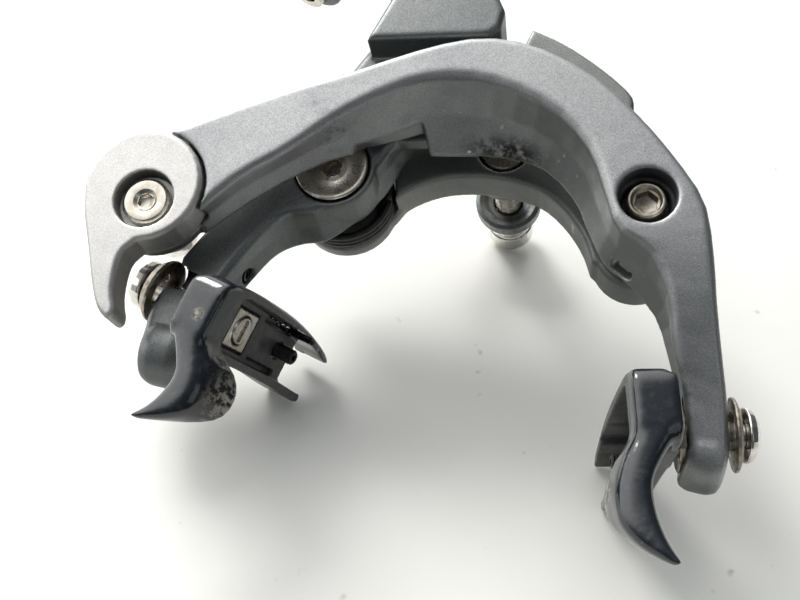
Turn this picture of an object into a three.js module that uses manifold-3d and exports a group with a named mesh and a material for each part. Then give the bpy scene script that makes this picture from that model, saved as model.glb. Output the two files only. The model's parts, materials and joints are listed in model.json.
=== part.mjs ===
// Dual-pivot rim-brake caliper for a road bicycle, brake pads taken out of their holders.
// Millimetres. The frame is the caliper as it sits on the bicycle, seen from the front:
// +X to the right, +Y rearwards along the mounting bolt, +Z up.
// The origin is on the mounting bolt's axis, in the seat face at the back of the pivot bracket.
import * as THREE from 'three';
import { mergeVertices } from 'three/addons/utils/BufferGeometryUtils.js';
import Module from 'manifold-3d';

// ---------- driving dimensions ----------
const pivotX = 31.5; // each pivot's distance from the bolt's axis
const pivotZ = -16.5; // the pivots' height under the bolt's axis
const gap = 0.35; // clearance between touching pieces
const frontY = -38; // front face of the front arm
const frontArmBack = -25; // back face of the front arm's arch
const rearArmFront = -24.4; // front face of the rear arm at its pivot
const rearArmBack = -13.6; // back face of the rear arm at its pivot
const bracketFront = -12.6; // front face of the bracket's arch
const bracketBack = -2; // back face of the bracket's arch; its centre boss reaches 0
const closeAngle = THREE.MathUtils.degToRad(12); // how far each arm turns from open to closed
const shoeY = -23; // the shoe bolts' place along the bicycle
const shoeLength = 48; // length of a shoe holder
const shoeHeight = 14; // height of a shoe holder
const shoeDepth = 8; // a shoe holder's size from its back to its lips
const boltRadius = 3; // M6 mounting bolt and shoe bolts
const shoeRoll = 15; // the shoe bolts' slope, outer end up, so that the open pads face the rim
const shoeTop = 3.2; // how far the shoe bolts' slots reach above the bolts

// Each arm's end: floorX and floorZ place the holder's floor on the shoe bolt's axis; armIn and
// armOut are the distances along that axis to the arm's two faces; yaw and pitch turn the holder
// on its dished washers; endZ is the middle of the arm's round end; hornReach is how far the
// wheel guide's tip drops under the bolt, and hornFlare how far its rear edge turns to the wheel.
const right = {
  side: 1, floorX: 42.4, floorZ: -56.4, armIn: 4.2, armOut: 12.2, yaw: 6, pitch: -5, endZ: -57.9,
  washer: 1.2, nut: 2.6, hornReach: 27.4, hornFlare: 1,
};
const left = {
  side: -1, floorX: 41.3, floorZ: -53.8, armIn: 6.6, armOut: 16.4, yaw: 10, pitch: 8, endZ: -61.4,
  washer: 2.2, nut: 4.2, hornReach: 22.4, hornFlare: 3.4,
};
const hub = { x: -62.2, z: -33.5 }; // the release lever's axis
const anchor = { x: -60.9, z: -36.4 }; // the cable anchor, off the lever's axis

// ---------- helpers ----------
const wasm = await Module();
wasm.setup();

const vec = (x, y, z) => new THREE.Vector3(x, y, z);

// A closed three.js geometry as a manifold-3d solid, its faces turned outwards.
function solid(geometry) {
  const bare = geometry.clone();
  bare.deleteAttribute('normal');
  bare.deleteAttribute('uv');
  const merged = mergeVertices(bare, 1e-4);
  const vertProperties = new Float32Array(merged.attributes.position.array);
  const make = (index) => new wasm.Manifold(
    new wasm.Mesh({ numProp: 3, vertProperties, triVerts: new Uint32Array(index) }),
  );
  const made = make(merged.index.array);
  return made.volume() > 0 ? made : make([...merged.index.array].reverse());
}

function geometryOf(made) {
  const mesh = made.getMesh();
  const geometry = new THREE.BufferGeometry();
  geometry.setAttribute('position', new THREE.BufferAttribute(mesh.vertProperties, 3));
  geometry.setIndex(new THREE.BufferAttribute(mesh.triVerts, 1));
  geometry.computeVertexNormals();
  return geometry;
}

const join = (...parts) => parts.reduce((a, b) => a.add(b));
const cut = (body, ...tools) => tools.reduce((a, b) => a.subtract(b), body);

// Moves a geometry so that its Y axis runs along the given direction from the given place.
function aim(geometry, at, along) {
  const turn = new THREE.Quaternion().setFromUnitVectors(vec(0, 1, 0), along.clone().normalize());
  return geometry.applyQuaternion(turn).translate(at.x, at.y, at.z);
}

const alongX = vec(1, 0, 0);
const alongY = vec(0, 1, 0);

// A turned piece: profile points are [radius, distance along the axis].
function turned(profile, at, along = alongY, sides = 24) {
  const points = profile.map(([r, d]) => new THREE.Vector2(r, d));
  return solid(aim(new THREE.LatheGeometry(points, sides), at, along));
}

// A plain round bar from one distance to another along the axis.
function bar(radius, from, to, at, along = alongY, sides = 24) {
  return turned([[0, from], [radius, from], [radius, to], [0, to]], at, along, sides);
}

// A bar with rounded ends' edges: three points make each round.
function softBar(radius, from, to, round, at, along = alongY, sides = 24) {
  const k = round * (1 - Math.SQRT1_2);
  return turned([
    [0, from], [radius - round, from], [radius - k, from + k], [radius, from + round],
    [radius, to - round], [radius - k, to - k], [radius - round, to], [0, to],
  ], at, along, sides);
}

// A washer or sleeve with a closed section.
function ring(inner, outer, from, to, at, along = alongY, sides = 24) {
  return turned([
    [inner, from], [outer, from], [outer, to], [inner, to], [inner, from],
  ], at, along, sides);
}

// A hexagonal socket or nut, size across its flats, one corner upwards.
function hexagon(flats, from, to, at, along = alongY) {
  const radius = flats / Math.sqrt(3);
  const geometry = new THREE.CylinderGeometry(radius, radius, to - from, 6);
  geometry.translate(0, (from + to) / 2, 0);
  return solid(aim(geometry, at, along));
}

// A plate whose outline [x, z] is seen from the front, from one y to another.
function plate(outline, y0, y1, bevel = 0) {
  const shape = new THREE.Shape(outline.map(([x, z]) => new THREE.Vector2(x, z)));
  const geometry = new THREE.ExtrudeGeometry(shape, {
    depth: y1 - y0 - 2 * bevel, bevelEnabled: bevel > 0, bevelThickness: bevel, bevelSize: bevel,
    bevelOffset: -bevel, bevelSegments: 1, curveSegments: 12,
  });
  geometry.rotateX(Math.PI / 2);
  return solid(geometry.translate(0, y1 - bevel, 0));
}

// A smooth closed outline through a few points [x, z].
function smooth(points, count, closed = true) {
  const curve = new THREE.CatmullRomCurve3(points.map(([x, z]) => vec(x, 0, z)), closed, 'centripetal');
  return curve.getPoints(count).slice(0, closed ? -1 : undefined).map((p) => [p.x, p.z]);
}

function box(x0, x1, y0, y1, z0, z1) {
  const geometry = new THREE.BoxGeometry(x1 - x0, y1 - y0, z1 - z0);
  return solid(geometry.translate((x0 + x1) / 2, (y0 + y1) / 2, (z0 + z1) / 2));
}

// Rings of points, all with the same count, skinned into one body with flat caps.
function loft(rings) {
  const n = rings[0].length;
  const middle = (points) => points.reduce((a, p) => a.add(p), vec(0, 0, 0)).divideScalar(n);
  const points = [...rings.flat(), middle(rings[0]), middle(rings.at(-1))];
  const first = rings.length * n;
  const index = [];
  for (let i = 0; i < n; i++) {
    const j = (i + 1) % n;
    for (let k = 0; k + 1 < rings.length; k++) {
      const a = k * n;
      const b = a + n;
      index.push(a + i, b + i, a + j, a + j, b + i, b + j);
    }
    const last = (rings.length - 1) * n;
    index.push(first, i, j, first + 1, last + j, last + i);
  }
  const geometry = new THREE.BufferGeometry().setFromPoints(points);
  geometry.setIndex(index);
  return solid(geometry);
}

// A forged arm: each station gives the section's four corners, seen from the front as [x, z],
// and how far back its front and back faces are. Edges are softened and the inner slope hollowed.
function forgedArm(stations, steps, edge, hollow) {
  const rail = (corner, face) => new THREE.CatmullRomCurve3(
    stations.map((s) => vec(s[corner][0], s[face], s[corner][1])), false, 'catmullrom', 0.5,
  );
  const rails = [
    rail('outer', 'front'), rail('inner', 'front'), rail('innerBack', 'back'), rail('outerBack', 'back'),
  ];
  const towards = (from, to, step) => from.clone().add(
    to.clone().sub(from).setLength(Math.min(step, from.distanceTo(to) * 0.4)),
  );
  const rings = [];
  for (let i = 0; i <= steps; i++) {
    const [a, b, c, d] = rails.map((curve) => curve.getPoint(i / steps));
    const inward = a.clone().add(d).sub(b).sub(c).setLength(hollow);
    rings.push([
      towards(a, b, edge), towards(b, a, edge), towards(b, c, edge),
      b.clone().lerp(c, 0.5).add(inward), towards(c, b, edge), towards(c, d, edge),
      towards(d, c, edge), towards(d, a, edge), towards(a, d, edge),
    ]);
  }
  return loft(rings);
}

const at = (x, z, y = 0) => vec(x, y, z);
const rightPivot = at(pivotX, pivotZ);
const leftPivot = at(-pivotX, pivotZ);

// ---------- the roller that makes both arms turn together ----------
const roller = at(0, 1.6);
const rollerRadius = 3;

// Where the roller, carried by the rear arm, is in the front arm's own frame at a share of the travel.
function rollerInFrontArm(share) {
  const angle = closeAngle * share;
  const turn = (p, centre) => {
    const [x, z] = [p.x - centre.x, p.z - centre.z];
    return at(
      centre.x + x * Math.cos(angle) - z * Math.sin(angle),
      centre.z + x * Math.sin(angle) + z * Math.cos(angle),
    );
  };
  return turn(turn(roller, leftPivot), rightPivot);
}

// ---------- front arm ----------
function frontArm() {
  const at0 = (outer, inner, innerBack, outerBack, front, back) => ({
    outer, inner, innerBack, outerBack, front: frontY + front, back: frontY + back,
  });
  const body = forgedArm([
    at0([-61, -20.8], [-50, -36], [-51, -38], [-62, -24], 0, 10.2),
    at0([-50, -13.6], [-44.5, -28], [-44.4, -29.8], [-50, -14.5], 0, 10.5),
    at0([-39.5, -7], [-36.8, -20.6], [-36.4, -22], [-39.5, -8], 0, 10.5),
    at0([-29.5, -1.6], [-28.6, -11], [-28.4, -15.6], [-29.5, -2.6], 0, 12),
    at0([-17.1, 5.7], [-18, -2.2], [-18, -12.6], [-17.5, 5], 0, 13),
    at0([-6.2, 10.4], [-8.1, 1.4], [-8.5, -11.3], [-7, 9.6], 0, 13),
    at0([4.8, 10.6], [2, 1], [1, -9.4], [4, 9.8], 0, 13),
    at0([17.6, 6], [12.2, -2.7], [10.3, -10.1], [17, 5.2], 0, 13),
    at0([27.6, -1], [19.6, -9.1], [17.8, -15.5], [27.2, -1.8], 0, 13),
    at0([35.2, -8], [23.9, -16.8], [21.3, -20.8], [34.8, -8.8], 0, 13),
    at0([41.6, -15.4], [27.6, -23.6], [25.7, -26.8], [41.2, -16], 0, 13),
    at0([44.8, -24.5], [34, -26.8], [31.5, -30.4], [44.6, -24.5], 0.5, 13.5),
    at0([47, -33], [38.6, -34], [37.4, -35], [47, -33], 2, 15),
    at0([49.6, -41.5], [40.8, -41.6], [41.4, -41.6], [49.8, -41.5], 4.5, 18),
    at0([52.3, -50], [44.2, -49], [45, -49], [52.6, -50], 7, 21),
    at0([54, right.endZ], [46.9, -59], [46.8, -59], [54.4, right.endZ], 8.5, 21.6),
  ], 34, 1, 0.8);
  const tip = armTip(right, 2.2);
  const leverBoss = softBar(11, frontY + 6.9, frontY + 10.2, 0.8, at(hub.x, hub.z), alongY, 32);
  const pivotHub = softBar(8.2, frontY + 9, bracketFront - gap, 0.6, rightPivot);
  const leverRoom = bar(12.2, frontY - 3, frontY + 6.9, at(hub.x, hub.z), alongY, 36);
  const notch = plate(
    [[-27, -30], [-27, -13.2], [-14.2, -6.2], [-11.5, -12.2], [-10.5, -30]], frontY - 1, frontArmBack + 1,
  );
  const recess = bar(5.4, frontY - 3, frontY + 4.5, rightPivot);
  const pivotBore = bar(4.6, frontY, 0, rightPivot);
  const leverBore = bar(6.8, frontY, 0, at(hub.x, hub.z));
  const inspectionHole = join(...[-0.9, -0.3, 0.3, 0.9].map((step) => bar(
    1.4, -4, 6, at(29.4 + step, -28 - 0.6 * step, frontY + 10.6), vec(0.43, 0.4, 0.81), 16,
  )));
  const rollerTrack = [0, 0.33, 0.67, 1].map((share) => bar(
    rollerRadius + 0.5, frontArmBack - 6, frontArmBack + 1, rollerInFrontArm(share), alongY, 20,
  ));
  return cut(
    join(body, tip, leverBoss, pivotHub),
    leverRoom, notch, recess, pivotBore, leverBore, inspectionHole, shoeSlot(right), ...rollerTrack,
  );
}

// The round end of an arm.
function armTip(arm, round) {
  const face = (distance) => arm.floorX + distance * Math.cos(rollAngle);
  const made = softBar(6.9, face(arm.armIn), face(arm.armOut), round, at(0, arm.endZ, shoeY), alongX, 32);
  return arm.side > 0 ? made : made.mirror([1, 0, 0]);
}

// How far the round end's middle is below the shoe bolt, measured square to the bolt.
function endDrop(arm) {
  return (arm.endZ - arm.floorZ - armMiddle(arm) * Math.sin(rollAngle)) / Math.cos(rollAngle);
}

// The upright slot in an arm's end, in which the shoe bolt is set to the rim's height,
// and the flat that is spot-faced around it for the washers.
function shoeSlot(arm) {
  const width = 7.6;
  const [near, far] = [arm.armIn - 6, arm.armOut + 6];
  const low = 0.75 * endDrop(arm);
  const round = (z) => bar(width / 2, near, far, at(0, z), alongX, 24);
  const slot = join(round(low), round(shoeTop), box(near, far, -width / 2, width / 2, low, shoeTop));
  const inner = bar(7.1, arm.armIn - 6, arm.armIn, at(0, 0), alongX, 30);
  const outer = bar(7.4, arm.armOut, arm.armOut + 6, at(0, 0), alongX, 30);
  return placeStack(join(slot, inner, outer), arm);
}

// ---------- rear arm ----------
const adjusterFoot = at(-45.6, 30, -24.5); // middle of the adjuster's boss
const cableWay = vec(anchor.x - adjusterFoot.x, 0, anchor.z - adjusterFoot.z).normalize();
const adjusterAxis = cableWay.clone().negate();

function rearArm() {
  const at0 = (outer, inner, innerBack, outerBack, front, back) => ({
    outer, inner, innerBack, outerBack, front: frontY + front, back: frontY + back,
  });
  const leg = forgedArm([
    at0([-56.8, left.endZ], [-47.8, -62], [-47.8, -62], [-56.8, left.endZ], 9, 21),
    at0([-57.6, -53], [-47.8, -52.5], [-47, -52], [-57.6, -53], 10.2, 21.3),
    at0([-56.6, -45], [-45.6, -44.2], [-43.6, -43], [-56.6, -45], 12, 22.4),
    at0([-54, -37.4], [-42.2, -35], [-40, -34.6], [-54, -37.4], 13.2, 23.8),
    at0([-50, -28.4], [-38, -28.6], [-35.4, -31], [-50, -28.4], 13.6, 24.4),
    at0([-45.4, -18.6], [-31, -25.9], [-29.6, -28.6], [-45.4, -18.6], 13.6, 24.4),
    at0([-41, -8.6], [-23.6, -17.4], [-21.6, -17.8], [-41, -8.6], 13.6, 24.4),
    at0([-35.4, 1], [-19.6, -8.4], [-17.8, -6.4], [-35.4, 1], 13.6, 24.4),
    at0([-32.4, 8.4], [-10, 2], [-10, 2.6], [-32.4, 8.4], 13.6, 22),
    at0([-29, 16], [-5, 16], [-5, 16], [-29, 16], 13.6, 20),
  ], 28, 1, 0.5);
  const tip = armTip(left, 2.6);
  const boss = softBar(9.2, rearArmFront, rearArmBack, 0.5, leftPivot, alongY, 32);
  const head = plate([
    [-30, 9.2], ...smooth([[-27.2, 20.4], [-28.6, 25.2], [-34, 27.4], [-41, 25.4]], 10, false),
    ...smooth([[-50, 26.6], [-49.6, 33], [-41, 34.8], [-28, 35.4], [-15, 32], [-7.4, 26], [-3.6, 20.8]], 18, false),
    [-3.6, 16.4], [-5.4, 14.4],
  ], frontY + 6, frontY + 19.6, 0.8);
  const finger = plate(
    smooth([[-24, -8], [-8, -6], [1.5, -3.4], [4.4, 1.4], [2, 6.2], [-8, 8], [-22, 8]], 30),
    rearArmFront, rearArmFront + 3.8,
  );
  const socket = softBar(6.4, -6.5, 6.5, 0.8, adjusterFoot, adjusterAxis);
  const thread = bar(3.9, -20, 20, adjusterFoot, adjusterAxis, 24);
  const recess = bar(7.9, rearArmFront - 8, rearArmFront + 1.8, leftPivot, alongY, 32);
  const bore = bar(5.1, frontY, 0, leftPivot);
  const pinHole = bar(1.8, frontY, 0, roller, alongY, 20);
  const screwHole = bar(1.6, -4.4, 20, centringPlace, alongX, 16);
  return cut(
    join(leg, tip, boss, head, finger, socket), thread, recess, bore, pinHole, screwHole, shoeSlot(left),
  );
}

// ---------- pivots, bracket and spring ----------
const centringPlace = at(-43.2, -41, frontY + 20); // small screw in the rear arm's leg

// The screw that centres the caliper: its socket opens towards the wheel.
function centringScrew() {
  const screw = bar(1.3, -4, -0.8, centringPlace, alongX, 16);
  return cut(screw, hexagon(1.4, -2.4, 0, centringPlace, alongX));
}

function pivotBracket() {
  const arch = [
    [-21.6, -18.4], ...smooth([[-19.4, -15.6], [-16.6, -12.8], [-11, -9.4], [-3, -7.4], [3.5, -7.2],
      [10, -8.2], [16, -12], [20.6, -17], [23.2, -21.6]], 26, false),
    [31, -24.6], [40, -18], [36, -8],
    ...smooth([[26, 7.6], [24.2, 13.2], [20.4, 16.4], [13.9, 20.3], [7.2, 23.4], [0.6, 25.2]], 14, false),
    [-2.4, 18], [-10, 10], [-22, -6],
  ];
  const band = plate(arch, bracketFront, bracketBack, 0.6);
  const pad = plate([
    [0.4, 8], [-0.4, 19], ...smooth([[0.8, 25], [7.2, 23.1], [13.9, 20], [20.6, 16], [24.6, 12.6], [25.4, 8.6]],
      14, false), [24.6, 3.6], [12, 6.6],
  ], frontY + 18.2, bracketFront + 1, 0.5);
  const leftBoss = softBar(11, frontY + 32, bracketBack + 0.6, 0.8, leftPivot, alongY, 32);
  const neck = plate(
    [[-34, -24.6], [-24, -23.4], [-20, -17.6], [-14, -4], [-30, -7]], frontY + 32.2, bracketBack, 0.4,
  );
  const rightBoss = softBar(9, bracketFront, bracketBack + 0.6, 0.6, rightPivot, alongY, 32);
  const seat = softBar(6.9, bracketBack - 2, 0, 0.4, at(0, 0), alongY, 32);
  const room = bar(11.6, frontY, frontY + 31.9, leftPivot, alongY, 32);
  const bolt = bar(boltRadius + 0.3, -40, 40, at(0, 0));
  const headRoom = bar(5.6, -40, bracketFront + 4, at(0, 0));
  const rightBore = bar(3.3, -40, 2, rightPivot);
  const leftBore = bar(4.3, -40, 2, leftPivot);
  return cut(join(cut(band, room), pad, leftBoss, neck, rightBoss, seat), bolt, headRoom, rightBore, leftBore);
}

function rightPivotBolt() {
  const head = [
    [0, frontY + 2.6], [3.3, frontY + 2.6], [3.55, frontY + 2.9], [3.55, frontY + 6.4],
    [3, frontY + 6.4], [3, bracketBack + 1.6], [0, bracketBack + 1.6],
  ];
  return cut(turned(head, rightPivot), hexagon(4, frontY + 2, frontY + 5, rightPivot));
}

function leftPivotBolt() {
  const face = rearArmFront;
  const profile = [
    [0, face - 0.4], [7.1, face - 0.4], [7.6, face + 0.1], [7.6, face + 1.4], [3.9, face + 1.4],
    [3.9, bracketBack + 1.6], [0, bracketBack + 1.6],
  ];
  const cone = turned([[0, face - 1], [3.6, face - 1], [3.2, face + 0.6], [0, face + 0.6]], leftPivot);
  return cut(turned(profile, leftPivot, alongY, 32), cone, hexagon(4, face - 1, face + 4, leftPivot));
}

// A torsion spring: turns of square-ish wire from the rear arm to the bracket.
function returnSpring() {
  const [turns, radius, wire] = [3.2, 10.3, 0.75];
  const [from, to] = [rearArmBack + gap + wire, frontY + 32 - gap - wire];
  const points = [];
  const steps = 64;
  for (let i = 0; i <= steps; i++) {
    const angle = 2 * Math.PI * turns * i / steps;
    points.push(vec(
      leftPivot.x + radius * Math.cos(angle), from + (to - from) * i / steps, leftPivot.z + radius * Math.sin(angle),
    ));
  }
  const section = new THREE.Shape();
  section.absarc(0, 0, wire, 0, 2 * Math.PI);
  return solid(new THREE.ExtrudeGeometry(section, {
    steps, curveSegments: 4, bevelEnabled: false, extrudePath: new THREE.CatmullRomCurve3(points),
  }));
}

// ---------- quick release and cable anchor ----------
function releaseLever() {
  const rim = [];
  const radius = 11.7;
  for (let i = 0; i <= 22; i++) {
    const angle = THREE.MathUtils.degToRad(-62 + i * 11.6);
    rim.push([hub.x + radius * Math.cos(angle), hub.z + radius * Math.sin(angle)]);
  }
  const tail = smooth([
    [-71.8, -41.5], [-68.4, -48.4], [-65.2, -55], [-62.4, -59.4], [-59.8, -60.8], [-59, -59.4],
    [-60.6, -55.6], [-61.5, -51], [-61.4, -47.8], [-59.6, -45],
  ], 22, false);
  const body = plate([...rim, ...tail], frontY - 1, frontY + 6.5, 0.7);
  const journal = bar(6.4, frontY + 5, frontY + 11.6, at(hub.x, hub.z));
  const place = at(anchor.x, anchor.z);
  return cut(join(body, journal), bar(6, frontY - 2, frontY + 2.4, place), bar(3.2, frontY - 4, 0, place));
}

function releaseScrew() {
  const place = at(anchor.x, anchor.z);
  const profile = [
    [0, frontY], [4.1, frontY], [4.7, frontY + 0.5], [4.7, frontY + 2], [2.9, frontY + 2],
    [2.9, frontY + 17.6], [0, frontY + 17.6],
  ];
  const sink = turned([[0, frontY - 1], [2.4, frontY - 1], [1.7, frontY + 0.6], [0, frontY + 0.6]], place);
  return cut(turned(profile, place), sink, hexagon(3, frontY - 1, frontY + 1.8, place));
}

function anchorNut() {
  const front = frontY + 15;
  const place = at(anchor.x, anchor.z);
  const profile = [
    [3.2, front], [4.6, front], [4.9, front + 0.4], [4.8, front + 3.4], [4.2, front + 5.6], [3, front + 6.8],
    [0, front + 7.2], [0, front + 3.2], [3.2, front + 3.2], [3.2, front],
  ];
  return turned(profile, place);
}

function clampPlate() {
  const place = at(anchor.x, anchor.z);
  const disc = softBar(5, frontY + 12.3, frontY + 14.6, 0.4, place);
  return cut(disc, bar(3.2, -40, 0, place));
}

// ---------- barrel adjuster ----------
function barrelAdjuster() {
  const profile = [
    [1.6, -9], [3.4, -9], [3.4, 8.6], [4.6, 8.6], [5, 9], [5, 17], [4.4, 18.6], [3.2, 19.4], [1.6, 19.4],
    [1.6, -9],
  ];
  const grooves = [];
  for (let i = 0; i < 10; i++) {
    const angle = 2 * Math.PI * i / 10;
    const groove = new THREE.CylinderGeometry(0.7, 0.7, 7, 8);
    groove.translate(5.2 * Math.cos(angle), 13, 5.2 * Math.sin(angle));
    grooves.push(solid(aim(groove, adjusterFoot, adjusterAxis)));
  }
  return cut(turned(profile, adjusterFoot, adjusterAxis), ...grooves);
}

// ---------- shoes ----------
// A shoe holder is made for the right side, its floor's back at x = 0 and its channel open to -X.
// From the shoe bolt, y runs rearwards and z up. The lips follow the rim's curve.
const shoeFront = -shoeLength * 0.41;
const shoeBack = shoeFront + shoeLength;
const floorBack = shoeBack - 6.5; // the floor stops short of the upper lip's tip
const floorThickness = 2.4;

// A plate standing in the holder's length: the outline is [y, z], from one x to another.
function slab(outline, x0, x1, bevel = 0) {
  const shape = new THREE.Shape(outline.map(([y, z]) => new THREE.Vector2(y, z)));
  const geometry = new THREE.ExtrudeGeometry(shape, {
    depth: x1 - x0 - 2 * bevel, bevelEnabled: bevel > 0, bevelThickness: bevel, bevelSize: bevel,
    bevelOffset: -bevel, bevelSegments: 2,
  });
  return solid(geometry.rotateX(Math.PI / 2).rotateZ(Math.PI / 2).translate(x0 + bevel, 0, 0));
}

function shoeBody() {
  const [low, high] = [-shoeHeight / 2, shoeHeight / 2];
  const upper = smooth([
    [shoeFront, high - 3], [shoeFront + 1.2, high - 0.9], [shoeFront + 5, high], [-2, high + 0.5],
    [9, high + 0.2], [18, high - 1], [shoeBack - 1.4, high - 3.2], [shoeBack, high - 4.6],
  ], 18, false);
  const lower = smooth([
    [floorBack + 1.6, low + 1], [floorBack + 2, low - 0.6], [floorBack, low - 1.1], [10, low - 0.3],
    [-4, low], [shoeFront + 4, low], [shoeFront + 1.2, low + 1], [shoeFront, low + 3],
  ], 14, false);
  const body = slab([
    ...upper, [shoeBack - 1.6, high - 5], [floorBack, high - 3.2], [floorBack, low + 1.8], ...lower,
  ], -shoeDepth, 0, 0.4);
  const channel = slab([
    [shoeFront + 7, low + 1.7], [shoeFront + 7, high - 2], [shoeFront + 9, high - 1.2], [-2, high - 1.2],
    [9, high - 1.5], [18, high - 2.8], [shoeBack + 1, high - 5.3], [shoeBack + 1, low + 4],
    [shoeBack - 2, low + 0.8], [floorBack, low + 0.8], [10, low + 1.5],
  ], -shoeDepth - 2, -floorThickness);
  const backRound = slab([
    [shoeFront - 1, high - 1.6], [shoeFront - 1, high + 3], [shoeBack, high + 3], [shoeBack, high - 1.6],
  ], -1.5, 3);
  return cut(body, channel, backRound);
}

// The wheel guide's horn: it drops from the holder's front end, first towards the wheel and then out.
// Its rear edge reaches further towards the wheel than its front edge.
function horn(reach, flare) {
  const drop = (share) => -8 - share * (reach - 8);
  const station = (outer, inner, innerBack, outerBack, ahead, thick) => ({
    outer, inner, innerBack, outerBack, front: shoeFront + ahead, back: shoeFront + ahead + thick,
  });
  return forgedArm([
    station([-0.4, 1.5], [-7.6, 1.5], [-7.6, 1.5], [-0.4, 1.5], 0.3, 6.6),
    station([-0.9, -4.6], [-8, -4.4], [-8.4, -4.6], [-0.9, -4.6], 0.1, 8.2),
    station([-3.6, drop(0.05)], [-10, drop(0.02)], [-10 - flare, drop(0.02)], [-3.6, drop(0.05)], 0, 10),
    station([-5.8, drop(0.28)], [-11.8, drop(0.3)], [-12 - flare, drop(0.28)], [-6.4, drop(0.28)], -0.4, 10.4),
    station([-5.6, drop(0.55)], [-11.8, drop(0.6)], [-11.8 - flare, drop(0.56)], [-6.6, drop(0.55)], -1, 9),
    station([-4.4, drop(0.78)], [-9, drop(0.84)], [-9 - flare / 2, drop(0.78)], [-5.4, drop(0.76)], -1.6, 6.2),
    station([-2.6, drop(0.97)], [-4.2, drop(1)], [-4.6, drop(0.99)], [-3.2, drop(0.96)], -2.2, 2.6),
  ], 16, 1.4, 0.05);
}

const rollAngle = THREE.MathUtils.degToRad(shoeRoll);
const armMiddle = (arm) => (arm.armIn + arm.armOut) / 2;

// Takes a right-hand solid to its side, on the shoe bolt's sloping axis and square to the arm's end.
function placeStack(made, arm, shift = 0, turn = new THREE.Matrix4()) {
  const mirror = new THREE.Matrix4().makeScale(arm.side, 1, 1);
  const move = new THREE.Matrix4().makeTranslation(arm.floorX, shoeY - shift, arm.floorZ);
  const roll = new THREE.Matrix4().makeRotationY(-rollAngle);
  return made.transform(mirror.multiply(move).multiply(roll).multiply(turn).elements);
}

// The same for the holder and what is fast to it, which lean on the dished washers.
function placeShoe(made, arm) {
  const yaw = THREE.MathUtils.degToRad(arm.yaw);
  const turn = new THREE.Matrix4().makeRotationZ(yaw);
  turn.multiply(new THREE.Matrix4().makeRotationX(THREE.MathUtils.degToRad(arm.pitch)));
  return placeStack(made, arm, armMiddle(arm) * Math.sin(yaw), turn);
}

const padScrewPlace = { y: floorBack - 5.5, z: 0 };
const shankRadius = 2.5;

function holder(arm) {
  const whole = join(shoeBody(), horn(arm.hornReach, arm.hornFlare));
  const window = box(-9, -1.1, -4.4, 4.4, -4.4, 4.4);
  const boltHole = bar(shankRadius + 0.4, -2, 2, at(0, 0), alongX, 24);
  const screwHole = bar(2, -9, 2, at(0, padScrewPlace.z, padScrewPlace.y), alongX, 20);
  const grooves = [4.6, -4.8].map((z) => box(-9, -1, 6.5, floorBack - 3.5, z - 0.7, z + 0.7));
  return placeShoe(cut(whole, window, boltHole, screwHole, ...grooves), arm);
}

// The shoe bolt: a square head with a slotted round end, and a shank through the arm's slot.
function shoeBolt(arm) {
  const length = arm.armOut + arm.washer + 2.2;
  const head = box(-2.5, -1.4, -3.9, 3.9, -3.9, 3.9);
  const shank = turned([
    [0, -3], [2.7, -3], [3.1, -2.6], [3.1, -2], [shankRadius, -2], [shankRadius, length], [0, length],
  ], at(0, 0), alongX, 24);
  return placeShoe(cut(join(head, shank), box(-4, -2.2, -0.6, 0.6, -2.2, 2.2)), arm);
}

// Dished washers between holder and arm let the shoe take its angle.
function domeWasher(arm) {
  const profile = [[2.9, gap], [6, gap], [5.7, 1.1], [4.6, 1.8], [2.9, 2.1], [2.9, gap]];
  return placeShoe(turned(profile, at(0, 0), alongX, 24), arm);
}

function cupWasher(arm) {
  const far = arm.armIn - gap;
  const near = 2.3 + 0.09 * arm.yaw;
  const profile = [[4.2, near + 0.2], [5, near], [6.5, near - 0.3], [6.5, far], [4.2, far], [4.2, near + 0.2]];
  return placeStack(turned(profile, at(0, 0), alongX, 24), arm);
}

function outerWasher(arm) {
  const near = arm.armOut + gap;
  const far = near + arm.washer;
  const profile = [[4.2, near], [6.8, near], [6.8, near + 0.6], [5.6, far], [4.2, far], [4.2, near]];
  return placeStack(turned(profile, at(0, 0), alongX, 24), arm);
}

function domeNut(arm) {
  const lean = 5 * Math.sin(THREE.MathUtils.degToRad(arm.yaw));
  const near = arm.armOut + arm.washer + 2 * gap + lean;
  const far = near + arm.nut;
  const profile = [
    [2.8, near], [5, near], [5.2, near + 0.4], [5.2, far - 2.2], [4.6, far - 1.1], [3.4, far - 0.3], [2, far],
    [0, far], [0, near + 1.9 - lean], [2.8, near + 1.9 - lean], [2.8, near],
  ];
  return placeShoe(turned(profile, at(0, 0), alongX, 24), arm);
}

// The screw that holds a pad in its channel: it stands through the floor near the rear end.
function padScrew(arm) {
  const place = at(0, padScrewPlace.z, padScrewPlace.y);
  const shank = bar(1.65, -6.6, -0.4, place, alongX, 20);
  return placeShoe(cut(shank, hexagon(2, -2.4, 0, place, alongX)), arm);
}

// ---------- mounting bolt, washer and nut ----------
const mountWasherY = 14;

function mountingBolt() {
  const head = bracketFront + 0.4;
  const profile = [
    [0, head], [4.6, head], [5.1, head + 0.5], [5.1, head + 3], [boltRadius, head + 3],
    [boltRadius, mountWasherY + 13], [0, mountWasherY + 13],
  ];
  return turned(profile, at(0, 0));
}

function mountWasher() {
  const y = mountWasherY;
  const profile = [
    [3.4, y + 1.4], [4.6, y + 1.2], [5.6, y + 0.5], [6.6, y], [7.6, y + 0.4], [7.6, y + 3.6], [3.4, y + 3.6],
    [3.4, y + 1.4],
  ];
  return turned(profile, at(0, 0), alongY, 32);
}

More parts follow.
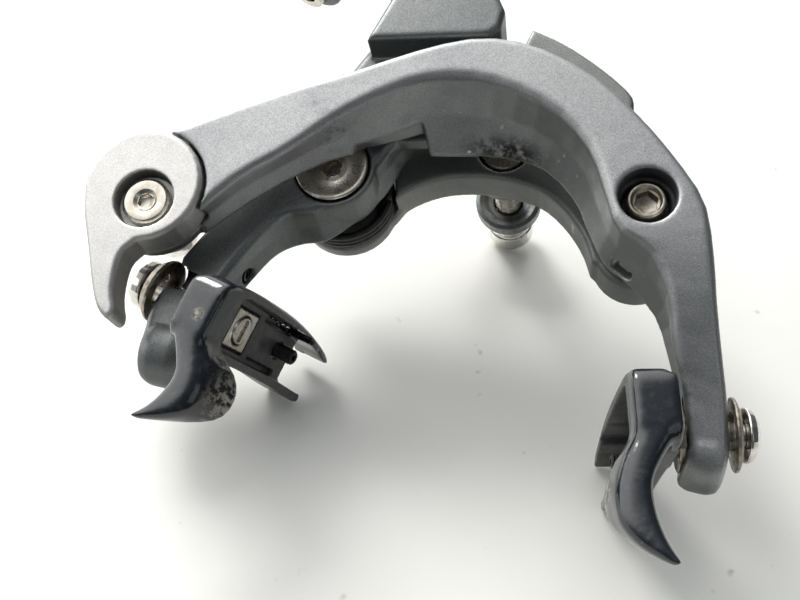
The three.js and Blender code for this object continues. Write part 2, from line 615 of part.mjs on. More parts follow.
function sleeveNut() {
  const y = mountWasherY + 3.6 + gap;
  const profile = [
    [3.3, y], [5.2, y], [5.7, y + 0.6], [5.7, y + 6.2], [5, y + 6.6], [5, y + 8], [5.6, y + 8.4],
    [5.6, y + 13.8], [4.6, y + 15], [0, y + 15], [0, y + 12.4], [3.3, y + 12.4], [3.3, y],
  ];
  return turned(profile, at(0, 0));
}

// ---------- the assembly ----------
const paint = () => new THREE.MeshStandardMaterial({ color: 0x6b6f75, roughness: 0.42, metalness: 0.55 });
const gloss = () => new THREE.MeshStandardMaterial({ color: 0x2c333c, roughness: 0.2, metalness: 0.35 });
const steel = () => new THREE.MeshStandardMaterial({ color: 0xb9b4ab, roughness: 0.3, metalness: 0.95 });
const chrome = () => new THREE.MeshStandardMaterial({ color: 0xdcdcdc, roughness: 0.1, metalness: 1 });
const black = () => new THREE.MeshStandardMaterial({ color: 0x1b1d1f, roughness: 0.5, metalness: 0.3 });

const caliper = new THREE.Group();

function add(name, made, material) {
  const mesh = new THREE.Mesh(geometryOf(made), material);
  mesh.name = name;
  caliper.add(mesh);
}

add('front_arm', frontArm(), paint());
add('rear_arm', rearArm(), paint());
add('pivot_bracket', pivotBracket(), paint());
add('right_pivot_bolt', rightPivotBolt(), steel());
add('left_pivot_bolt', leftPivotBolt(), steel());
add('right_pivot_bush', ring(3.2, 4.4, frontY + 6.8, bracketFront - gap, rightPivot), black());
add('left_pivot_bush', ring(4.15, 4.9, rearArmFront + 1.8, rearArmBack, leftPivot), black());
add('spring_sleeve', ring(5.4, 7.6, rearArmBack + gap, frontY + 32 - gap, leftPivot), black());
add('return_spring', returnSpring(), black());
add('centring_screw', centringScrew(), steel());
add('roller_pin', bar(1.6, frontArmBack - 5.4, rearArmFront + 3.6, roller, alongY, 20), steel());
add('sync_roller', ring(1.9, rollerRadius, frontArmBack - 5.2, frontArmBack - 0.4, roller, alongY, 24), steel());
add('mounting_bolt', mountingBolt(), steel());
add('mount_washer', mountWasher(), steel());
add('sleeve_nut', sleeveNut(), chrome());
add('release_lever', releaseLever(), paint());
add('release_screw', releaseScrew(), steel());
add('anchor_nut', anchorNut(), chrome());
add('clamp_plate', clampPlate(), steel());
add('barrel_adjuster', barrelAdjuster(), steel());

for (const [name, arm] of [['right', right], ['left', left]]) {
  add(name + '_shoe_holder', holder(arm), gloss());
  add(name + '_shoe_bolt', shoeBolt(arm), steel());
  add(name + '_dome_washer', domeWasher(arm), steel());
  add(name + '_cup_washer', cupWasher(arm), steel());
  add(name + '_outer_washer', outerWasher(arm), steel());
  add(name + '_dome_nut', domeNut(arm), chrome());
  add(name + '_pad_screw', padScrew(arm), black());
}

export default caliper;
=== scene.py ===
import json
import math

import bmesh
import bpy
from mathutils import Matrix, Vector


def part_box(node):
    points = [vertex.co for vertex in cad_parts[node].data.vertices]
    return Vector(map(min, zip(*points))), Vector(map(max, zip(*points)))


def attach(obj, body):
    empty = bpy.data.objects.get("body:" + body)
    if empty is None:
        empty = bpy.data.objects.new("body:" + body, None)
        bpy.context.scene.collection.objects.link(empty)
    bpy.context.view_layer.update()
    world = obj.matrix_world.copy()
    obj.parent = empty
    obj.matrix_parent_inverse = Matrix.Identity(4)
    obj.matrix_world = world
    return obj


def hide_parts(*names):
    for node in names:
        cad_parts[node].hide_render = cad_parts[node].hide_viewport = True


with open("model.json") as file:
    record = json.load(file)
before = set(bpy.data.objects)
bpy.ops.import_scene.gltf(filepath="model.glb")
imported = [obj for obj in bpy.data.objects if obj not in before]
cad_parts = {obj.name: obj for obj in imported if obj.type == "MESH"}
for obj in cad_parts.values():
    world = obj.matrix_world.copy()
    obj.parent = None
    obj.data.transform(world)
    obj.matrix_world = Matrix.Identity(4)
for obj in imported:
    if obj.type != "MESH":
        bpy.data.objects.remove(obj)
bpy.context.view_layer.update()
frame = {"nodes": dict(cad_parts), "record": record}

# %% [markdown]
# # A dual-pivot brake caliper
# This file gives the looks to a road bicycle's rim-brake caliper whose mechanism is already built.
# The frame holds every solid at its real size and place: two forged arms, the bracket they turn on,
# a spring, a quick-release lever, and two open pad holders with their washers, bolts and nuts.
# Blender's work is what the eye reads: soft forged edges, turned and threaded fasteners, satin paint,
# gloss paint that has chipped, plated steel, dust in the corners, and painted shade and light in the satin paint.
# Lengths below are in millimetres, and one factor turns them into Blender's metres.

MM = 0.001
scene = bpy.context.scene
nodes = frame["nodes"]
body_of_node = {n: body for body, group in frame["record"]["behaviour"]["bodies"].items() for n in group}

# %% [markdown]
# ## Camera
# A caliper off the bicycle lies on its back, and the eye looks down on its front from a little below
# its pads and to the right. The lens is a plain 50 mm one. The camera is set by the place it stands,
# the point it looks at and its roll, which is easier to read than three Euler angles.

# %% Camera
lens_length = 50
eye = Vector((32.7, -225, -103.4))
looks_at = Vector((-9.5, -28.5, -42.7))
roll = math.radians(15.3)


def camera_at(eye, looks_at, roll):
    data = bpy.data.cameras.new("camera")
    data.lens = lens_length
    data.sensor_width = 36
    data.clip_start = 0.01
    camera = bpy.data.objects.new("camera", data)
    scene.collection.objects.link(camera)
    facing = (looks_at - eye).to_track_quat("-Z", "Y").to_matrix().to_4x4()
    camera.matrix_world = Matrix.Translation(eye * MM) @ facing @ Matrix.Rotation(roll, 4, "Z")
    return camera


scene.camera = camera_at(eye, looks_at, roll)
print("camera", [round(v, 3) for v in scene.camera.location])

# %% [markdown]
# ## Table
# The table is one large pale sheet behind the caliper. A caliper laid on its back stands on three
# points, the end of the sleeve nut and the rear ends of both pad holders, so the sheet's plane is
# found from them: the deepest corner of each, taken again whenever the plane turns. It could be a
# thick slab, but then a view from behind would
# show only the slab. A single face with a material that is see-through on its back solves that: rays
# that meet its front see a faintly soiled white top, rays that meet its back go on.

# %% Node helpers
def new_material(name):
    material = bpy.data.materials.new(name)
    material.use_nodes = True
    tree = material.node_tree
    return material, tree, tree.nodes["Principled BSDF"]


def node(tree, kind, inputs=None, **settings):
    made = tree.nodes.new(kind)
    for key, value in settings.items():
        setattr(made, key, value)
    for key, value in (inputs or {}).items():
        if isinstance(value, bpy.types.NodeSocket):
            tree.links.new(value, made.inputs[key])
        else:
            made.inputs[key].default_value = value
    return made


def noise(tree, scale, detail=3.0, roughness=0.55, distortion=0.0):
    place = node(tree, "ShaderNodeTexCoord").outputs["Object"]
    settings = {"Vector": place, "Scale": scale, "Detail": detail, "Roughness": roughness, "Distortion": distortion}
    return node(tree, "ShaderNodeTexNoise", settings).outputs["Fac"]


def ramp(tree, factor, *stops):
    """A colour ramp; each stop is (position, colour or grey)."""
    made = node(tree, "ShaderNodeValToRGB", {"Fac": factor})
    elements = made.color_ramp.elements
    while len(elements) < len(stops):
        elements.new(0.5)
    for element, (position, colour) in zip(elements, stops):
        element.position = position
        grey = isinstance(colour, (int, float))
        element.color = (colour, colour, colour, 1) if grey else (*colour, 1)
    return made.outputs["Color"]


def mix(tree, factor, a, b, blend="MIX"):
    made = node(tree, "ShaderNodeMix", data_type="RGBA", blend_type=blend)
    for index, value in ((0, factor), (6, a), (7, b)):
        if isinstance(value, bpy.types.NodeSocket):
            tree.links.new(value, made.inputs[index])
        else:
            made.inputs[index].default_value = value if index == 0 else (*value, 1)
    return made.outputs[2]


def bump(tree, height, strength, distance, normal=None):
    inputs = {"Height": height, "Strength": strength, "Distance": distance}
    if normal is not None:
        inputs["Normal"] = normal
    return node(tree, "ShaderNodeBump", inputs).outputs["Normal"]


# %% Table top
def table_material():
    material, tree, shader = new_material("table_top")
    soil = ramp(tree, noise(tree, 9, 5), (0.35, (0.74, 0.74, 0.71)), (0.62, (0.81, 0.81, 0.785)))
    specks = ramp(tree, noise(tree, 160, 2), (0.72, 1.0), (0.78, 0.7))
    tree.links.new(mix(tree, 1.0, soil, specks, "MULTIPLY"), shader.inputs["Base Color"])
    shader.inputs["Roughness"].default_value = 0.32
    back = node(tree, "ShaderNodeNewGeometry").outputs["Backfacing"]
    clear = node(tree, "ShaderNodeBsdfTransparent").outputs[0]
    shown = node(tree, "ShaderNodeMixShader", {0: back, 1: shader.outputs[0], 2: clear})
    tree.links.new(shown.outputs[0], tree.nodes["Material Output"].inputs["Surface"])
    return material


def resting_plane(clearance):
    """The plane the caliper lies on: it touches the sleeve nut's end and both holders' rear ends."""
    corners = {}
    for name in ("sleeve_nut", "right_shoe_holder", "left_shoe_holder"):
        corners[name] = [v.co / MM for v in nodes[name].data.vertices]
    normal = Vector((0, -0.9, 0.45)).normalized()
    for _ in range(6):
        nut, right, left = (min(group, key=lambda p: p.dot(normal)) for group in corners.values())
        normal = (right - nut).cross(left - nut).normalized()
        if normal.y > 0:
            normal = -normal
    return nut - normal * clearance, normal


def table(touch, normal, half):
    """A square sheet through the touch point, facing along the normal."""
    across = Vector((0, 0, 1)).cross(normal).normalized()
    up = normal.cross(across)
    corners = [touch + across * half * sx + up * half * sz for sx, sz in ((-1, -1), (1, -1), (1, 1), (-1, 1))]
    mesh = bpy.data.meshes.new("table")
    mesh.from_pydata([c * MM for c in corners], [], [(0, 1, 2, 3)])
    sheet = bpy.data.objects.new("table", mesh)
    scene.collection.objects.link(sheet)
    mesh.materials.append(table_material())
    return sheet


touch, facing = resting_plane(0.2)
sheet = table(touch, facing, 1500)
print("table faces", tuple(round(v, 2) for v in sheet.data.polygons[0].normal))

# %% [markdown]
# ## Light
# The caliper lies near a window on its left. What shows the shape of satin paint is less the lamp
# than what the paint mirrors: a bright window side, a dim room on the right and below. A sky that
# fades by direction from the window side to the dark side does that with one ramp, and one wide
# area light adds the soft shadow on the table.

# %% Light
def area_light(name, place, target, size, watts, colour=(1, 1, 1)):
    data = bpy.data.lights.new(name, "AREA")
    data.shape = "RECTANGLE"
    data.size, data.size_y = size
    data.energy = watts
    data.color = colour
    light = bpy.data.objects.new(name, data)
    scene.collection.objects.link(light)
    place, target = Vector(place) * MM, Vector(target) * MM
    light.matrix_world = Matrix.Translation(place) @ (target - place).to_track_quat("-Z", "Y").to_matrix().to_4x4()
    return light


def room(bright_side):
    """A sky that is bright on one side and dark on the other."""
    world = bpy.data.worlds.new("room")
    world.use_nodes = True
    tree = world.node_tree
    way = node(tree, "ShaderNodeTexCoord").outputs["Generated"]
    side = {0: way, 1: Vector(bright_side).normalized()}
    facing = node(tree, "ShaderNodeVectorMath", side, operation="DOT_PRODUCT").outputs["Value"]
    share = node(tree, "ShaderNodeMapRange", {"Value": facing, "From Min": -1.0, "From Max": 1.0}).outputs[0]
    light = ramp(
        tree, share, (0.35, (0.035, 0.038, 0.04)), (0.6, (0.07, 0.077, 0.08)), (0.72, (0.22, 0.23, 0.23)),
        (0.8, (0.68, 0.68, 0.67)), (0.88, (1, 1, 0.98)),
    )
    tree.links.new(light, tree.nodes["Background"].inputs["Color"])
    tree.nodes["Background"].inputs["Strength"].default_value = 2.3
    return world


scene.world = room((-0.72, -0.22, 0.66))
area_light("window", (-720, -500, 930), (0, -20, -25), (0.45, 0.45), 12, (1.0, 0.985, 0.96))
area_light("fill", (500, -520, -80), (0, -20, -25), (0.4, 0.4), 0.25, (0.95, 0.98, 1.0))
scene.view_settings.view_transform = "Standard"

# %% [markdown]
# ## Satin paint
# The arms, bracket and lever are forged, tumbled and painted a dark metallic grey. Three things make
# such paint believable: fine flakes that differ in brightness, a slightly pebbled surface that
# spreads the highlights, and edges where hands and tools have rubbed it lighter and shinier. On top
# of them the faces turned down towards the wheel are painted darker, partly as brake dust and partly
# as painted shade. Flakes and pebbles are noise at two scales, and this darkening follows the
# surface's own direction. The rear arm and the bracket take darker copies of the paint as painted
# shade, and the lever a lighter copy as painted light. Worn edges could be painted by hand, but the
# Geometry node's pointiness finds every sharp convex edge of a dense mesh by itself.

# %% Satin paint
def worn_edges(tree, first, last):
    """0 on flat faces and up to 1 on sharp convex edges, broken up by noise."""
    point = node(tree, "ShaderNodeNewGeometry").outputs["Pointiness"]
    edge = ramp(tree, point, (first, 0.0), (last, 1.0))
    patchy = ramp(tree, noise(tree, 420, 4), (0.4, 0.0), (0.65, 1.0))
    return mix(tree, 1.0, edge, patchy, "MULTIPLY")


def spot(tree, place, reach, grain, first=0.45, last=0.6):
    """A ragged spot round a place in mm, 1 in its middle and 0 beyond its reach."""
    where = node(tree, "ShaderNodeTexCoord").outputs["Object"]
    stretched = Vector(reach) * MM
    apart = node(tree, "ShaderNodeVectorMath", {0: where, 1: Vector(place) * MM}, operation="SUBTRACT")
    scaled = node(tree, "ShaderNodeVectorMath", {0: apart.outputs[0], 1: stretched}, operation="DIVIDE")
    far = node(tree, "ShaderNodeVectorMath", {0: scaled.outputs[0]}, operation="LENGTH").outputs["Value"]
    near = ramp(tree, far, (0.3, 1.0), (1.0, 0.0))
    ragged = ramp(tree, noise(tree, grain, 6, 0.7), (first, 0.0), (last, 1.0))
    return mix(tree, 1.0, near, ragged, "MULTIPLY")


def satin_paint(name, dark, light, worn, rough=(0.4, 0.5)):
    material, tree, shader = new_material(name)
    cloud = ramp(tree, noise(tree, 60, 5), (0.3, 0.0), (0.7, 1.0))
    base = mix(tree, cloud, dark, light)
    flakes = ramp(tree, noise(tree, 4200, 3, 0.8), (0.36, 0.12), (0.64, 0.9))
    base = mix(tree, 0.5, base, flakes, "SOFT_LIGHT")
    normal = node(tree, "ShaderNodeNewGeometry").outputs["Normal"]
    downwards = node(tree, "ShaderNodeVectorMath", {0: normal, 1: (-0.35, 0.1, -0.93)}, operation="DOT_PRODUCT")
    # Faces turned down are painted darker: partly brake dust, partly painted shade.
    dust_and_shade_below = ramp(tree, downwards.outputs["Value"], (0.25, 0.0), (0.8, 0.75))
    base = mix(tree, dust_and_shade_below, base, (0.075, 0.082, 0.078))
    lint = ramp(tree, noise(tree, 900, 2, 0.5), (0.78, 0.0), (0.84, 0.3))
    base = mix(tree, lint, base, (0.3, 0.3, 0.28))
    if name == "arm_paint":
        base = mix(tree, spot(tree, (3.5, -27, -8), (11, 4.5, 4), 420, 0.4, 0.55), base, (0.01, 0.01, 0.01))
        base = mix(tree, spot(tree, (-32, -33, -12), (7, 8, 5), 600, 0.5, 0.7), base, (0.012, 0.012, 0.012))
    edges = worn_edges(tree, 0.62, 0.75)
    tree.links.new(mix(tree, edges, base, worn), shader.inputs["Base Color"])
    gloss = ramp(tree, noise(tree, 300, 4), (0.3, rough[0]), (0.7, rough[1]))
    tree.links.new(mix(tree, edges, gloss, (0.3, 0.3, 0.3)), shader.inputs["Roughness"])
    shader.inputs["Metallic"].default_value = 0.85
    shader.inputs["Coat Weight"].default_value = 0.1
    shader.inputs["Coat Roughness"].default_value = 0.4
    pebbles = bump(tree, noise(tree, 2600, 2), 0.18, 0.00008)
    tree.links.new(bump(tree, noise(tree, 260, 3), 0.1, 0.0004, pebbles), shader.inputs["Normal"])
    return material


arm_paint = satin_paint("arm_paint", (0.29, 0.296, 0.304), (0.35, 0.355, 0.362), (0.55, 0.55, 0.55))
# Painted shade: the rear arm's paint is a darker copy of the front arm's.
shaded_leg_paint = satin_paint("shaded_leg_paint", (0.15, 0.158, 0.16), (0.2, 0.208, 0.21), (0.4, 0.4, 0.4))
# Painted shade: the bracket's paint is a darker copy of the arms' paint as well.
shaded_bracket_paint = satin_paint("shaded_bracket_paint", (0.16, 0.166, 0.16), (0.21, 0.217, 0.21), (0.4, 0.4, 0.4))
# Painted light: the lever's paint is a lighter copy of the arms' paint.
lit_lever_paint = satin_paint("lit_lever_paint", (0.45, 0.446, 0.438), (0.54, 0.535, 0.526), (0.6, 0.6, 0.58), (0.42, 0.55))

# %% [markdown]
# ## Gloss paint with a dusty channel
# The pad holders wear a smooth blue-black gloss outside. Inside the channel, where the pads have sat,
# the same paint is scuffed matt and grey with brake dust. One material does both, from a mask stored
# on the mesh's points, and a second mask shows where the horn has scraped down to bare metal.

# %% Gloss paint
def gloss_paint(name):
    material, tree, shader = new_material(name)
    inside = node(tree, "ShaderNodeAttribute", attribute_name="channel").outputs["Fac"]
    dusty = ramp(tree, inside, (0.3, 0.0), (0.6, 1.0))
    dust = ramp(tree, noise(tree, 350, 5, 0.65), (0.3, (0.03, 0.032, 0.033)), (0.75, (0.1, 0.1, 0.096)))
    base = mix(tree, dusty, (0.008, 0.011, 0.016), dust)
    film = ramp(tree, noise(tree, 500, 6, 0.7), (0.5, 0.0), (0.75, 0.35))
    base = mix(tree, film, base, (0.09, 0.088, 0.08))
    worn_patch = node(tree, "ShaderNodeAttribute", attribute_name="scraped").outputs["Fac"]
    grain = ramp(tree, noise(tree, 700, 4, 0.7), (0.46, 0.0), (0.56, 1.0))
    scrape = mix(tree, 1.0, worn_patch, grain, "MULTIPLY")
    bare = mix(tree, 1.0, worn_edges(tree, 0.6, 0.68), scrape, "LIGHTEN")
    tree.links.new(mix(tree, bare, base, (0.33, 0.3, 0.25)), shader.inputs["Base Color"])
    rough = mix(tree, dusty, (0.14, 0.14, 0.14), (0.65, 0.65, 0.65))
    tree.links.new(mix(tree, bare, rough, (0.45, 0.45, 0.45)), shader.inputs["Roughness"])
    shader.inputs["Coat Weight"].default_value = 0.3
    shader.inputs["Coat Roughness"].default_value = 0.1
    shader.inputs["Specular IOR Level"].default_value = 0.6
    orange_peel = bump(tree, noise(tree, 240, 2), 0.2, 0.0005)
    tree.links.new(bump(tree, noise(tree, 1500, 3), 0.12, 0.0001, orange_peel), shader.inputs["Normal"])
    return material


holder_gloss = gloss_paint("holder_gloss")

# %% [markdown]
# ## Metals
# The fasteners are steel that was turned, plated and then handled. Each finish is the same recipe
# with other numbers: a colour that wanders between clean and tarnished, a roughness that follows it,
# and a shallow bump from fine scratches.

# %% Metals
def metal(name, clean, tarnished, rough_clean, rough_tarnished, tarnish_scale=400, scratches=0.12, metallic=1.0):
    material, tree, shader = new_material(name)
    patches = ramp(tree, noise(tree, tarnish_scale, 5, 0.65, 0.4), (0.38, 0.0), (0.68, 1.0))
    tree.links.new(mix(tree, patches, clean, tarnished), shader.inputs["Base Color"])
    rough = mix(tree, patches, (rough_clean,) * 3, (rough_tarnished,) * 3)
    tree.links.new(rough, shader.inputs["Roughness"])
    shader.inputs["Metallic"].default_value = metallic
    tree.links.new(bump(tree, noise(tree, 3000, 3, 0.6), scratches, 0.00005), shader.inputs["Normal"])
    return material


steel = metal("steel", (0.6, 0.57, 0.52), (0.4, 0.36, 0.3), 0.22, 0.38)
old_steel = metal("old_steel", (0.42, 0.39, 0.34), (0.17, 0.135, 0.095), 0.3, 0.55, 500, 0.2)
dull_alloy = metal("dull_alloy", (0.22, 0.23, 0.23), (0.13, 0.14, 0.14), 0.42, 0.55, 300)
chrome = metal("chrome", (0.8, 0.79, 0.77), (0.55, 0.52, 0.46), 0.08, 0.2, 350, 0.05)
black_steel = metal("black_steel", (0.02, 0.021, 0.023), (0.06, 0.055, 0.048), 0.34, 0.5, 500, 0.15, 0.7)
bush_polymer = metal("bush_polymer", (0.02, 0.02, 0.02), (0.035, 0.035, 0.035), 0.5, 0.65, 500, 0.1, 0.0)
print("materials", len(bpy.data.materials))

# %% [markdown]
# ## Forged pieces
# A forging has no sharp corner: every edge is rounded by the die and by tumbling. The frame's solids
# are right in size but faceted, with crisp edges. Bevels would have to be chosen edge by edge, and
# they fail where booleans have left slivers. A voxel remesh rebuilds the skin from even little
# squares, and a few rounds of smoothing then melt facets and corners together by about the size
# of the squares. The mesh stays inside the solid's own outline, so nothing grows.

# %% Fine meshes from the frame's solids
def show(piece, node_name, material):
    """Gives a finished piece its material and body, and hides the solid it stands for."""
    piece.data.materials.clear()
    piece.data.materials.append(material)
    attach(piece, body_of_node[node_name])
    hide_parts(node_name)
    return piece


def apply_modifiers(piece):
    made = bpy.data.meshes.new_from_object(piece.evaluated_get(bpy.context.evaluated_depsgraph_get()))
    piece.modifiers.clear()
    old = piece.data
    piece.data = made
    bpy.data.meshes.remove(old)


def soften(piece, rounds, group=""):
    smooth = piece.modifiers.new("melt", "SMOOTH")
    smooth.factor = 0.5
    smooth.iterations = rounds
    smooth.vertex_group = group
    apply_modifiers(piece)


def fine(node_name, material, square, rounds):
    """The solid's skin rebuilt from squares of that size in mm, then smoothed."""
    piece = bpy.data.objects.new(node_name + "_fine", nodes[node_name].data.copy())
    scene.collection.objects.link(piece)
    remesh = piece.modifiers.new("squares", "REMESH")
    remesh.mode = "VOXEL"
    remesh.voxel_size = square * MM
    apply_modifiers(piece)
    soften(piece, rounds)
    piece.data.shade_smooth()
    print(node_name, len(piece.data.polygons), "faces")
    return show(piece, node_name, material)


# %% Arms, bracket and lever
front_arm = fine("front_arm", arm_paint, 0.36, 9)
rear_arm = fine("rear_arm", shaded_leg_paint, 0.36, 9)
pivot_bracket = fine("pivot_bracket", shaded_bracket_paint, 0.42, 6)
release_lever = fine("release_lever", lit_lever_paint, 0.24, 4)

# %% [markdown]
# ## Pad holders
# Each holder is a thin-walled channel with a massive cap and a horn that guides the wheel in. It is
# made like the arms, with smaller squares because the channel's walls are thin. The cap and the horn
# are rounder than anything else here, so a vertex group lets many more rounds of smoothing work on
# them alone. Two masks for the paint are stored on the points as well.

# %% Pad holders
def mark(piece, name, values):
    attribute = piece.data.attributes.new(name, "FLOAT", "POINT")
    attribute.data.foreach_set("value", values)


def holder(side):
    floor = next(m for m in frame["record"]["mounts"] if m["name"] == side + "_pad_floor")
    middle = Vector(floor["pos_m"]) / MM
    open_way = Vector(floor["axis"])
    rail = (Vector((0, 1, 0)) - open_way * open_way.y).normalized()
    upright = rail.cross(open_way) if side == "left" else open_way.cross(rail)
    piece = fine(side + "_shoe_holder", holder_gloss, 0.21, 5)
    local = [((v.co / MM - middle).dot(open_way), (v.co / MM - middle).dot(rail),
              (v.co / MM - middle).dot(upright)) for v in piece.data.vertices]
    cap = piece.vertex_groups.new(name="cap")
    for index, (out, back, rise) in enumerate(local):
        in_front = min(1, max(0, (-4.6 - back) / 2.4))
        under = min(1, max(0, (-7.6 - rise) / 2))
        cap.add([index], max(in_front, under), "REPLACE")
    soften(piece, 150, "cap")
    depth = [min(1, max(0, 1.4 - max(abs(o - 2.4) / 4.6, abs(r) / 7.4, (-b - 1.6) / 5))) for o, b, r in local]
    across = 1 if side == "right" else -1
    scrapes = [(Vector((33.2 * across, -37.2, -71.2)), 5.5)]
    if side == "left":
        scrapes.append((Vector((-40.6, -45, -57.9)), 1.2))
    scraped = [max(1.25 - (v.co / MM - place).length / size for place, size in scrapes) for v in piece.data.vertices]
    mark(piece, "channel", depth)
    mark(piece, "scraped", [min(1, max(0, value)) for value in scraped])
    piece.data.shade_smooth()
    return piece


right_holder = holder("right")
left_holder = holder("left")

# %% [markdown]
# ## Turned pieces
# Bolts and nuts come off a lathe: round, concentric, with small chamfers and a hexagon broached into
# the head. A remesh would blur the socket, so these are built anew. A profile of radius and distance
# is spun in 96 steps, the socket is cut by a boolean, and a narrow bevel breaks the sharp edges.
# Places and lengths are read from the frame's solids, so the new pieces sit where the old ones did.

# %% Turned pieces
def spun(name, profile, steps=96):
    """A closed body of [radius, distance] points turned about Y."""
    points, faces = [], []
    rows = []
    for radius, distance in profile:
        if radius == 0:
            rows.append([len(points)] * steps)
            points.append((0, distance, 0))
            continue
        rows.append(list(range(len(points), len(points) + steps)))
        turn = [2 * math.pi * i / steps for i in range(steps)]
        points += [(radius * math.cos(a), distance, radius * math.sin(a)) for a in turn]
    for a, b in zip(rows, rows[1:]):
        for i in range(steps):
            j = (i + 1) % steps
            corners = [a[i], b[i], b[j], a[j]]
            faces.append([c for k, c in enumerate(corners) if c not in corners[:k]])
    mesh = bpy.data.meshes.new(name)
    mesh.from_pydata([Vector(p) * MM for p in points], [], faces)
    piece = bpy.data.objects.new(name, mesh)
    scene.collection.objects.link(piece)
    return piece


def cut_socket(piece, flats, start, depth):
    """Broaches a hexagon, open towards -Y."""
    radius = flats / math.sqrt(3)
    corner = [(radius * math.sin(k * math.pi / 3), radius * math.cos(k * math.pi / 3)) for k in range(6)]
    points = [Vector((x, y, z)) * MM for y in (start - 2, start + depth) for x, z in corner]
    faces = [[k, (k + 1) % 6, 6 + (k + 1) % 6, 6 + k] for k in range(6)] + [list(range(6))[::-1], list(range(6, 12))]
    mesh = bpy.data.meshes.new("socket")
    mesh.from_pydata(points, [], faces)
    tool = bpy.data.objects.new("socket", mesh)
    scene.collection.objects.link(tool)
    for solid in (piece, tool):
        outwards(solid.data)
    boolean = piece.modifiers.new("cut", "BOOLEAN")
    boolean.object = tool
    boolean.operation = "DIFFERENCE"
    boolean.solver = "EXACT"
    apply_modifiers(piece)
    bpy.data.objects.remove(tool)


def outwards(mesh):
    work = bmesh.new()
    work.from_mesh(mesh)
    bmesh.ops.recalc_face_normals(work, faces=work.faces)
    work.to_mesh(mesh)
    work.free()


def break_edges(piece, width=0.1):
    bevel = piece.modifiers.new("edges", "BEVEL")
    bevel.width = width * MM
    bevel.segments = 2
    bevel.limit_method = "ANGLE"
    bevel.angle_limit = math.radians(35)
    bevel.harden_normals = False
    apply_modifiers(piece)
    piece.data.shade_smooth()
    piece.data.set_sharp_from_angle(angle=math.radians(40))


def turned(node_name, profile, material, socket=None, edge=0.1):
    """A turned piece on its solid's axis; distances start at the solid's front."""
    low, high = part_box(node_name)
    piece = spun(node_name + "_fine", profile)
    outwards(piece.data)
    if socket:
        cut_socket(piece, *socket)
    piece.data.transform(Matrix.Translation(((low.x + high.x) / 2, low.y, (low.z + high.z) / 2)))
    break_edges(piece, edge)
    print(node_name, len(piece.data.polygons), "faces")
    return show(piece, node_name, material)


def size_of(node_name):
    low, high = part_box(node_name)
    return (high - low) / MM


reach = size_of("right_pivot_bolt").y
turned("right_pivot_bolt", [
    (0, 0.9), (2.5, 0.9), (2.9, 0), (3.3, 0), (3.55, 0.3), (3.55, 3.8), (3, 3.8), (3, reach), (0, reach),
], old_steel, (4, 0, 3.2))
reach = size_of("left_pivot_bolt").y
turned("left_pivot_bolt", [
    (0, 1.1), (3.0, 1.1), (3.4, 0.9), (6.3, 0.15), (7.0, 0), (7.3, 0.05), (7.55, 0.35), (7.55, 1.8), (3.9, 1.8),
    (3.9, reach), (0, reach),
], steel, (4, 0, 4))
reach = size_of("release_screw").y
turned("release_screw", [
    (0, 0.55), (1.75, 0.55), (2.4, 0), (4.1, 0), (4.68, 0.5), (4.68, 2), (2.9, 2), (2.9, reach), (0, reach),
], steel, (3, 0, 1.9))

# %% [markdown]
# ## Threads
# A thread is a ridge that climbs as it goes round. It could be cut with a swept tool, but a grid of
# points wrapped on the shank is simpler: each point's radius follows a rounded triangle whose phase
# is its distance along the axis over the pitch, less its share of a turn.

# %% Threads
def threaded(name, length, outer, pitch, depth, smooth_from=None, smooth_radius=None, steps=36):
    """A closed threaded bar along Y from 0 to its length, plain up to smooth_from."""
    rings = int(length / pitch * 9)
    points = []
    for k in range(rings + 1):
        y = length * k / rings
        for i in range(steps):
            phase = (y / pitch - i / steps) % 1
            ridge = abs(2 * phase - 1)
            radius = outer - depth * min(1, max(0, 1.25 * ridge - 0.12))
            if smooth_from is not None and y < smooth_from:
                radius = smooth_radius
            near_end = min(y, length - y)
            radius = min(radius, outer - depth + near_end)
            turn = 2 * math.pi * i / steps
            points.append(Vector((radius * math.cos(turn), y, radius * math.sin(turn))) * MM)
    faces = [[k * steps + i, k * steps + (i + 1) % steps, (k + 1) * steps + (i + 1) % steps, (k + 1) * steps + i]
             for k in range(rings) for i in range(steps)]
    faces += [list(range(steps))[::-1], list(range(rings * steps, (rings + 1) * steps))]
    mesh = bpy.data.meshes.new(name)
    mesh.from_pydata(points, [], faces)
    piece = bpy.data.objects.new(name, mesh)
    scene.collection.objects.link(piece)
    outwards(mesh)
    return piece


def pad_screw(side):
    """A set screw square to the pad's floor, threaded all along."""
    floor = next(m for m in frame["record"]["mounts"] if m["name"] == side + "_pad_floor")
    name = side + "_pad_screw"
    low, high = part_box(name)
    length = 6.1
    screw = threaded(name + "_fine", length, 1.62, 0.6, 0.3)
    cut_socket(screw, 1.5, 0, 1.2)
    way = -Vector(floor["axis"])
    turn = Vector((0, 1, 0)).rotation_difference(way).to_matrix().to_4x4()
    start = (low + high) / 2 - way * length / 2 * MM
    screw.data.transform(Matrix.Translation(start) @ turn)
    screw.data.shade_smooth()
    screw.data.set_sharp_from_angle(angle=math.radians(50))
    return show(screw, name, black_steel)


for side in ("right", "left"):
    pad_screw(side)

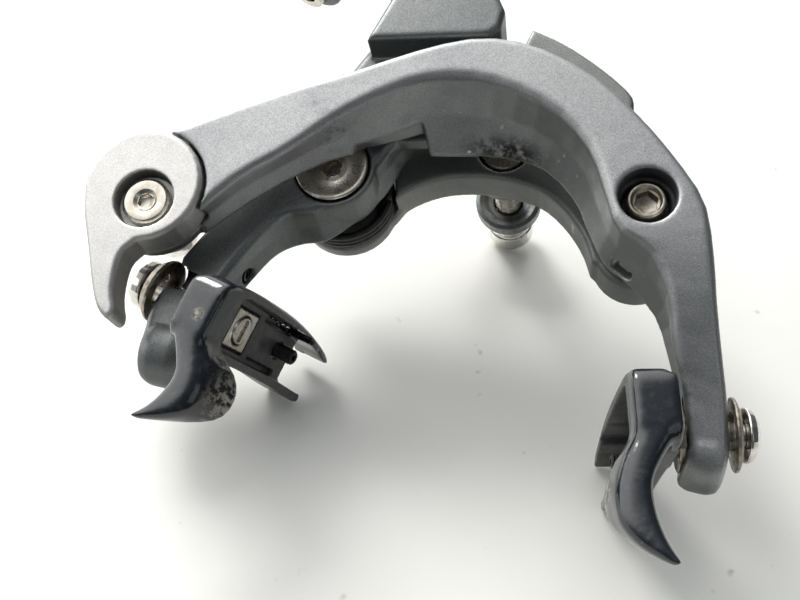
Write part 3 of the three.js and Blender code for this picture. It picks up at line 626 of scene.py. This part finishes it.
# %% Mounting bolt: a low head, a plain neck and a long thread
low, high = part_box("mounting_bolt")
reach = size_of("mounting_bolt").y
bolt = threaded("mounting_bolt_fine", reach, 2.98, 1.0, 0.5, smooth_from=8, smooth_radius=2.7)
head = spun("bolt_head", [(0, 0), (4.6, 0), (5.05, 0.5), (5.05, 3), (2.5, 3), (2.5, 3.4), (0, 3.4)])
for piece in (bolt, head):
    piece.data.transform(Matrix.Translation(((low.x + high.x) / 2, low.y, (low.z + high.z) / 2)))
outwards(head.data)
union = bolt.modifiers.new("head", "BOOLEAN")
union.object = head
union.operation = "UNION"
union.solver = "EXACT"
apply_modifiers(bolt)
bpy.data.objects.remove(head)
bolt.data.shade_smooth()
bolt.data.set_sharp_from_angle(angle=math.radians(45))
show(bolt, "mounting_bolt", steel)

# %% [markdown]
# ## Return spring
# The spring is round wire wound in a few turns behind the left pivot. A curve object with a bevel
# would do, but then its ends need capping; a tube of rings set square to the helix is as short to
# write and gives a closed mesh. Its radius and run come from the solid's box.

# %% Return spring
def spring(turns=3.2, wire=0.75, steps=240, sides=14):
    low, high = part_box("return_spring")
    centre = Vector(((low.x + high.x) / 2, 0, (low.z + high.z) / 2))
    radius = ((high.x - low.x) / 2) / MM - wire
    start, end = low.y / MM + wire, high.y / MM - wire
    pivot_low, pivot_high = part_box("left_pivot_bolt")
    centre = Vector(((pivot_low.x + pivot_high.x) / 2, 0, (pivot_low.z + pivot_high.z) / 2)) / MM
    points = []
    for k in range(steps + 1):
        angle = 2 * math.pi * turns * k / steps
        out = Vector((math.cos(angle), 0, math.sin(angle)))
        for i in range(sides):
            a = 2 * math.pi * i / sides
            offset = out * (wire * math.cos(a)) + Vector((0, wire * math.sin(a), 0))
            along = Vector((0, start + (end - start) * k / steps, 0))
            points.append((centre + out * radius + along + offset) * MM)
    faces = [[k * sides + i, k * sides + (i + 1) % sides, (k + 1) * sides + (i + 1) % sides, (k + 1) * sides + i]
             for k in range(steps) for i in range(sides)]
    faces += [list(range(sides))[::-1], list(range(steps * sides, (steps + 1) * sides))]
    mesh = bpy.data.meshes.new("return_spring_fine")
    mesh.from_pydata(points, [], faces)
    piece = bpy.data.objects.new("return_spring_fine", mesh)
    scene.collection.objects.link(piece)
    outwards(mesh)
    mesh.shade_smooth()
    return show(piece, "return_spring", black_steel)


coil = spring()
print("spring", len(coil.data.polygons), "faces")

# %% [markdown]
# ## Small fasteners
# Washers, nuts and the barrel adjuster keep the frame's shapes, with finer skins. The squares are
# small enough to keep a 0.5 mm chamfer readable.

# %% Small fasteners
small_pieces = {
    "mount_washer": (dull_alloy, 0.16, 4),
    "clamp_plate": (steel, 0.16, 3),
    "anchor_nut": (chrome, 0.14, 6),
    "barrel_adjuster": (steel, 0.18, 3),
    "sleeve_nut": (chrome, 0.15, 4),
    "centring_screw": (black_steel, 0.08, 1),
}
for side in ("right", "left"):
    small_pieces[side + "_dome_nut"] = (chrome, 0.12, 8)
    small_pieces[side + "_outer_washer"] = (old_steel, 0.14, 3)
    small_pieces[side + "_cup_washer"] = (old_steel, 0.14, 3)
    small_pieces[side + "_dome_washer"] = (old_steel, 0.14, 3)
    small_pieces[side + "_shoe_bolt"] = (steel, 0.14, 3)
for name, (material, square, rounds) in small_pieces.items():
    fine(name, material, square, rounds)

# %% [markdown]
# ## Pieces that keep their solid
# Bushes, the spring's sleeve and the roller with its pin are plain turned parts deep inside. Their
# solids are right as they are and only take a finish.

# %% Finishes on solids
kept = {
    "right_pivot_bush": bush_polymer, "left_pivot_bush": bush_polymer, "spring_sleeve": bush_polymer,
    "roller_pin": steel, "sync_roller": steel,
}
for name, material in kept.items():
    nodes[name].data.materials.clear()
    nodes[name].data.materials.append(material)
print("kept solids", len(kept))
